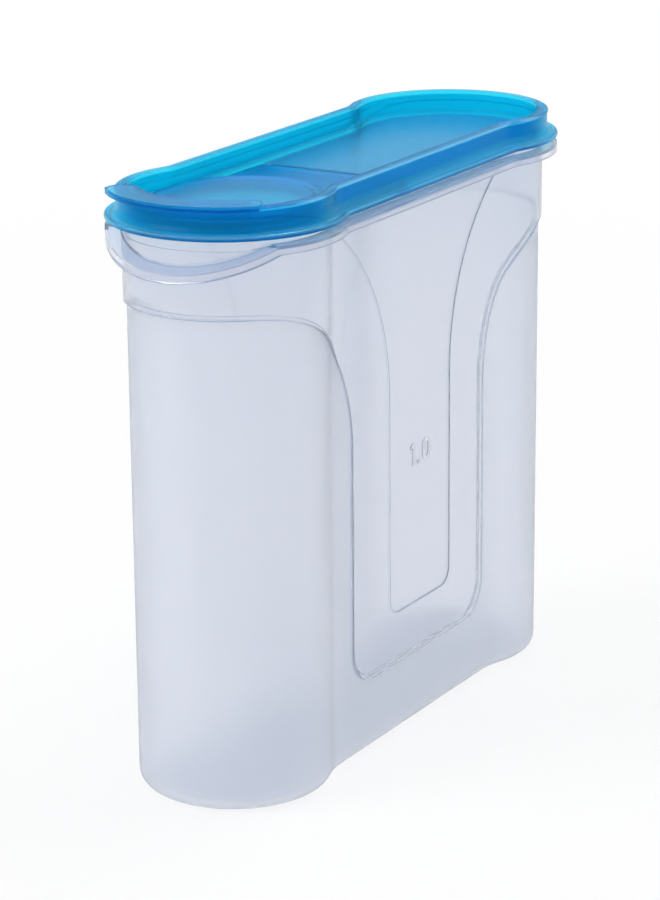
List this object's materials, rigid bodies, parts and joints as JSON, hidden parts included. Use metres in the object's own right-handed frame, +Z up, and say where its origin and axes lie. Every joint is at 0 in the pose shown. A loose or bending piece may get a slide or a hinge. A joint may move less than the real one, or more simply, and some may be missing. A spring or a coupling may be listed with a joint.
{
  "type": "cereal container",
  "caption": "Slim dog-bone plan dry food keeper: translucent body with clear side windows, blue press-on lid with a sunken deck, and a hinged flip cover over a round pour spout.",
  "frame": {"origin": "centre of the plan on the plane that the foot ring stands on", "axes": "+Z up; +Y along the container's long side, away from the spout; +X out of the broad side that carries the litre mark"},
  "size_m": [0.0772, 0.2212, 0.2009],
  "materials": {
    "natural_plastic": "translucent natural polypropylene, polished on the proud windows and finely frosted elsewhere",
    "lid_plastic": "translucent blue, satin",
    "cover_plastic": "translucent blue, satin"
  },
  "bodies": {
    "container": {"container_body": "natural_plastic"},
    "lid": {"lid_frame": "lid_plastic"},
    "cover": {"flip_cover": "cover_plastic"}
  },
  "joints": [
    {"name": "lid_lift", "type": "slide", "parent": "container", "child": "lid", "axis": [0, 0, 1], "range_m": [0, 0.06]},
    {"name": "flip_hinge", "type": "hinge", "parent": "lid", "child": "cover", "pos_m": [0, -0.009, 0.19005], "axis": [-1, 0, 0], "range_deg": [0, 105]}
  ]
}
